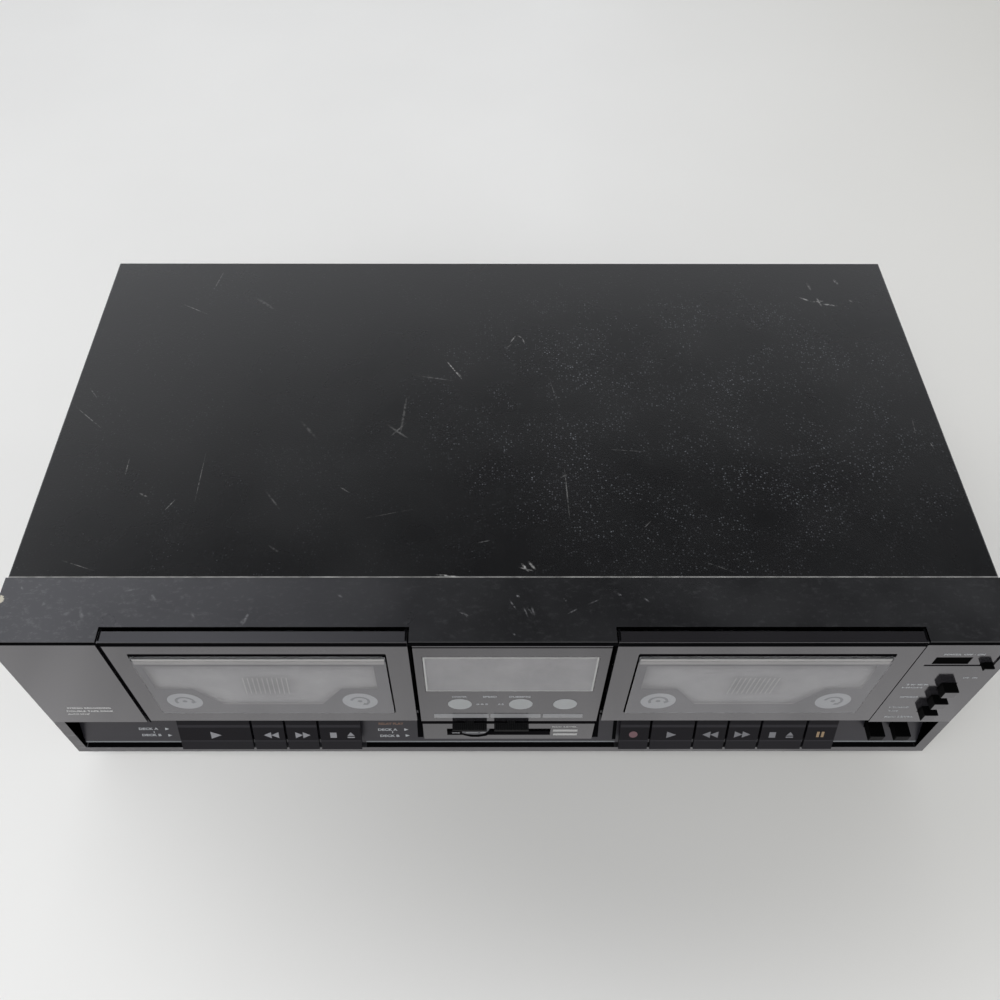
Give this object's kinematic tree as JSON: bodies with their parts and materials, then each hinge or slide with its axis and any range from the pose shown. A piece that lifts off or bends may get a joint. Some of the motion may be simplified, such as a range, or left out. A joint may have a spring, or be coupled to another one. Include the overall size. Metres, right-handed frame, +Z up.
{
  "type": "double cassette deck",
  "caption": "Free-standing double cassette deck with two bottom-hinged cassette doors, piano keys, level sliders, push buttons and tape mechanisms in a steel case.",
  "frame": {"origin": "on the ground under the middle of the whole deck", "axes": "+X to the right seen from the front, +Y to the rear, +Z up"},
  "size_m": [0.4316, 0.2528, 0.125],
  "materials": {
    "cover_paint": "fine satin paint",
    "rear_paint": "satin paint",
    "plated_steel": "zinc plated",
    "shaft_steel": "ground",
    "screw_steel": "plated",
    "black_screw": "black",
    "brass_part": "turned brass",
    "transformer_iron": "laminated",
    "fascia_plastic": "moulded satin",
    "panel_gloss": "polished",
    "recess_plastic": "moulded satin",
    "key_plastic": "moulded satin",
    "knob_plastic": "moulded",
    "foot_plastic": "moulded",
    "holder_plastic": "moulded",
    "reel_plastic": "moulded",
    "connector_plastic": "moulded",
    "board_laminate": "laminate",
    "belt_rubber": "rubber",
    "dark_lens": "polished",
    "smoked_window": "smoked",
    "clear_window": "clear"
  },
  "bodies": {
    "case": {"top_cover": "cover_paint", "chassis_pan": "plated_steel", "rear_panel": "rear_paint", "front_fascia": "fascia_plastic", "left_front_panel": "panel_gloss", "centre_panel": "panel_gloss", "right_front_panel": "panel_gloss", "indicator_lens": "dark_lens", "meter_window": "smoked_window", "slider_panel": "panel_gloss", "key_recess_panel": "recess_plastic", "feet": "foot_plastic", "foot_screws": "screw_steel", "case_screws": "black_screw", "key_shafts": "shaft_steel", "slider_pot": "plated_steel", "control_board": "board_laminate", "meter_display": "board_laminate", "drive_motor": "plated_steel", "drive_belts": "belt_rubber", "main_circuit_board": "board_laminate", "power_transformer": "transformer_iron", "rear_connectors": "connector_plastic", "mechanism_frame_a": "plated_steel", "mechanism_frame_b": "plated_steel"},
    "level_slider_left": {"level_slider_left": "knob_plastic"},
    "level_slider_right": {"level_slider_right": "knob_plastic"},
    "switch_button_top": {"switch_button_top": "knob_plastic"},
    "switch_button_middle": {"switch_button_middle": "knob_plastic"},
    "switch_button_bottom": {"switch_button_bottom": "knob_plastic"},
    "recess_button_left": {"recess_button_left": "knob_plastic"},
    "recess_button_right": {"recess_button_right": "knob_plastic"},
    "power_button": {"power_button": "knob_plastic"},
    "motor_pulley": {"motor_pulley": "brass_part"},
    "door_a": {"door_a_frame": "panel_gloss", "door_a_window": "clear_window", "door_a_holder": "holder_plastic"},
    "supply_reel_a": {"supply_reel_a": "reel_plastic"},
    "takeup_reel_a": {"takeup_reel_a": "reel_plastic"},
    "flywheel_a": {"flywheel_a": "plated_steel"},
    "head_sled_a": {"head_sled_a": "plated_steel"},
    "pinch_roller_a": {"pinch_roller_a": "belt_rubber"},
    "key_a_play": {"key_a_play": "key_plastic"},
    "key_a_rewind": {"key_a_rewind": "key_plastic"},
    "key_a_forward": {"key_a_forward": "key_plastic"},
    "key_a_stop": {"key_a_stop": "key_plastic"},
    "door_b": {"door_b_frame": "panel_gloss", "door_b_window": "clear_window", "door_b_holder": "holder_plastic"},
    "supply_reel_b": {"supply_reel_b": "reel_plastic"},
    "takeup_reel_b": {"takeup_reel_b": "reel_plastic"},
    "flywheel_b": {"flywheel_b": "plated_steel"},
    "head_sled_b": {"head_sled_b": "plated_steel"},
    "pinch_roller_b": {"pinch_roller_b": "belt_rubber"},
    "key_b_record": {"key_b_record": "key_plastic"},
    "key_b_play": {"key_b_play": "key_plastic"},
    "key_b_rewind": {"key_b_rewind": "key_plastic"},
    "key_b_forward": {"key_b_forward": "key_plastic"},
    "key_b_stop": {"key_b_stop": "key_plastic"},
    "key_b_pause": {"key_b_pause": "key_plastic"}
  },
  "joints": [
    {"name": "door_a_hinge", "type": "hinge", "parent": "case", "child": "door_a", "pos_m": [-0.10445, -0.11805, 0.0497], "axis": [1, 0, 0], "range_deg": [0, 40]},
    {"name": "key_a_play_press", "type": "hinge", "parent": "case", "child": "key_a_play", "pos_m": [-0.10445, -0.06365, 0.029], "axis": [1, 0, 0], "range_deg": [0, 4.45]},
    {"name": "key_a_rewind_press", "type": "hinge", "parent": "case", "child": "key_a_rewind", "pos_m": [-0.10445, -0.06365, 0.029], "axis": [1, 0, 0], "range_deg": [0, 4.45], "stiffness_Nm_per_rad": 2, "springref_deg": -1.72},
    {"name": "key_a_forward_press", "type": "hinge", "parent": "case", "child": "key_a_forward", "pos_m": [-0.10445, -0.06365, 0.029], "axis": [1, 0, 0], "range_deg": [0, 4.45], "stiffness_Nm_per_rad": 2, "springref_deg": -1.72},
    {"name": "key_a_stop_press", "type": "hinge", "parent": "case", "child": "key_a_stop", "pos_m": [-0.10445, -0.06365, 0.029], "axis": [1, 0, 0], "range_deg": [0, 4.45], "stiffness_Nm_per_rad": 2, "springref_deg": -1.72},
    {"name": "supply_reel_a_spin", "type": "hinge", "parent": "case", "child": "supply_reel_a", "pos_m": [-0.1257, -0.10165, 0.089], "axis": [0, 1, 0], "continuous": true},
    {"name": "takeup_reel_a_spin", "type": "hinge", "parent": "case", "child": "takeup_reel_a", "pos_m": [-0.0832, -0.10165, 0.089], "axis": [0, 1, 0], "continuous": true},
    {"name": "flywheel_a_spin", "type": "hinge", "parent": "case", "child": "flywheel_a", "pos_m": [-0.08045, -0.09435, 0.0634], "axis": [0, 1, 0], "continuous": true},
    {"name": "head_sled_a_lift", "type": "slide", "parent": "case", "child": "head_sled_a", "axis": [0, 0, 1], "range_m": [0, 0.0055], "stiffness_N_per_m": 400, "springref_m": -0.001},
    {"name": "pinch_roller_a_spin", "type": "hinge", "parent": "head_sled_a", "child": "pinch_roller_a", "pos_m": [-0.08045, -0.10965, 0.05185], "axis": [0, 1, 0], "continuous": true},
    {"name": "door_b_hinge", "type": "hinge", "parent": "case", "child": "door_b", "pos_m": [0.1111, -0.11805, 0.0497], "axis": [1, 0, 0], "range_deg": [0, 40]},
    {"name": "key_b_record_press", "type": "hinge", "parent": "case", "child": "key_b_record", "pos_m": [0.1111, -0.06365, 0.029], "axis": [1, 0, 0], "range_deg": [0, 4.45], "stiffness_Nm_per_rad": 2, "springref_deg": -1.72},
    {"name": "key_b_play_press", "type": "hinge", "parent": "case", "child": "key_b_play", "pos_m": [0.1111, -0.06365, 0.029], "axis": [1, 0, 0], "range_deg": [0, 4.45]},
    {"name": "key_b_rewind_press", "type": "hinge", "parent": "case", "child": "key_b_rewind", "pos_m": [0.1111, -0.06365, 0.029], "axis": [1, 0, 0], "range_deg": [0, 4.45], "stiffness_Nm_per_rad": 2, "springref_deg": -1.72},
    {"name": "key_b_forward_press", "type": "hinge", "parent": "case", "child": "key_b_forward", "pos_m": [0.1111, -0.06365, 0.029], "axis": [1, 0, 0], "range_deg": [0, 4.45], "stiffness_Nm_per_rad": 2, "springref_deg": -1.72},
    {"name": "key_b_stop_press", "type": "hinge", "parent": "case", "child": "key_b_stop", "pos_m": [0.1111, -0.06365, 0.029], "axis": [1, 0, 0], "range_deg": [0, 4.45], "stiffness_Nm_per_rad": 2, "springref_deg": -1.72},
    {"name": "key_b_pause_press", "type": "hinge", "parent": "case", "child": "key_b_pause", "pos_m": [0.1111, -0.06365, 0.029], "axis": [1, 0, 0], "range_deg": [0, 4.45], "stiffness_Nm_per_rad": 2, "springref_deg": -1.72},
    {"name": "supply_reel_b_spin", "type": "hinge", "parent": "case", "child": "supply_reel_b", "pos_m": [0.08985, -0.10165, 0.089], "axis": [0, 1, 0], "continuous": true},
    {"name": "takeup_reel_b_spin", "type": "hinge", "parent": "case", "child": "takeup_reel_b", "pos_m": [0.13235, -0.10165, 0.089], "axis": [0, 1, 0], "continuous": true},
    {"name": "flywheel_b_spin", "type": "hinge", "parent": "case", "child": "flywheel_b", "pos_m": [0.1351, -0.09435, 0.0634], "axis": [0, 1, 0], "continuous": true},
    {"name": "head_sled_b_lift", "type": "slide", "parent": "case", "child": "head_sled_b", "axis": [0, 0, 1], "range_m": [0, 0.0055], "stiffness_N_per_m": 400, "springref_m": -0.001},
    {"name": "pinch_roller_b_spin", "type": "hinge", "parent": "head_sled_b", "child": "pinch_roller_b", "pos_m": [0.1351, -0.10965, 0.05185], "axis": [0, 1, 0], "continuous": true},
    {"name": "motor_spin", "type": "hinge", "parent": "case", "child": "motor_pulley", "pos_m": [0.0033, -0.09435, 0.0634], "axis": [0, 1, 0], "continuous": true},
    {"name": "level_slider_right_slide", "type": "slide", "parent": "case", "child": "level_slider_right", "axis": [1, 0, 0], "range_m": [-0.003, 0.011]},
    {"name": "level_slider_left_slide", "type": "slide", "parent": "case", "child": "level_slider_left", "axis": [1, 0, 0], "range_m": [-0.003, 0.011]},
    {"name": "switch_button_top_press", "type": "slide", "parent": "case", "child": "switch_button_top", "axis": [0, 1, 0], "range_m": [0, 0.003], "stiffness_N_per_m": 300, "springref_m": -0.001},
    {"name": "switch_button_middle_press", "type": "slide", "parent": "case", "child": "switch_button_middle", "axis": [0, 1, 0], "range_m": [0, 0.003], "stiffness_N_per_m": 300, "springref_m": -0.001},
    {"name": "switch_button_bottom_press", "type": "slide", "parent": "case", "child": "switch_button_bottom", "axis": [0, 1, 0], "range_m": [0, 0.003], "stiffness_N_per_m": 300, "springref_m": -0.001},
    {"name": "recess_button_left_press", "type": "slide", "parent": "case", "child": "recess_button_left", "axis": [0, 1, 0], "range_m": [0, 0.003], "stiffness_N_per_m": 300, "springref_m": -0.001},
    {"name": "recess_button_right_press", "type": "slide", "parent": "case", "child": "recess_button_right", "axis": [0, 1, 0], "range_m": [0, 0.003], "stiffness_N_per_m": 300, "springref_m": -0.001},
    {"name": "power_button_press", "type": "slide", "parent": "case", "child": "power_button", "axis": [0, 1, 0], "range_m": [0, 0.003], "stiffness_N_per_m": 300, "springref_m": -0.001}
  ],
  "couplings": [
    {"joint": "motor_spin", "follows": "flywheel_a_spin", "ratio": 5.2},
    {"joint": "flywheel_b_spin", "follows": "flywheel_a_spin", "ratio": 1},
    {"joint": "level_slider_left_slide", "follows": "level_slider_right_slide", "ratio": 1},
    {"joint": "key_a_play_press", "follows": "head_sled_a_lift", "rad_per_m": 14.119},
    {"joint": "key_b_play_press", "follows": "head_sled_b_lift", "rad_per_m": 14.119}
  ]
}
